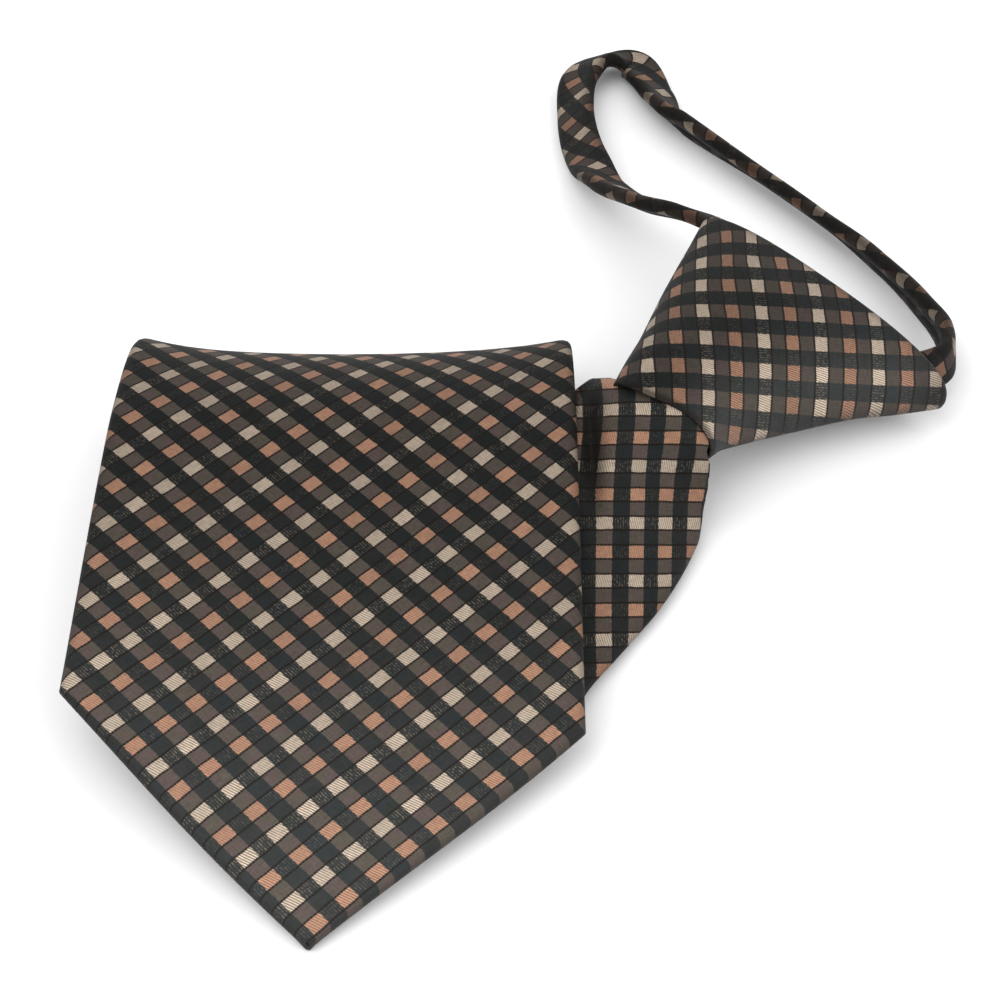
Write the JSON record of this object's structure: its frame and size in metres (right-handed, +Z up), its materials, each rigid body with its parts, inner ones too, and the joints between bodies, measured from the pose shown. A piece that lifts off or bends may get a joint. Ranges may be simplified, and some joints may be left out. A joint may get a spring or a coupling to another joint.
{
  "type": "zipper tie",
  "caption": "Adult zipper tie laid face up, its wide checked blade rolled under, with a ready-tied knot and a closed neck band.",
  "frame": {"origin": "under the middle of the tie's bounding box, on the table", "axes": "+Z up from the table, -Y towards the point of the blade, +X towards the knot's side"},
  "size_m": [0.1648, 0.2564, 0.03],
  "materials": {
    "checked_cloth": "dark woven check with pale and copper squares, slightly lustrous",
    "zip_tape": "black woven zip tape, matt"
  },
  "bodies": {
    "root": {"blade": "checked_cloth", "knot": "checked_cloth", "neck_band": "checked_cloth", "zip_strip": "zip_tape"}
  },
  "joints": []
}
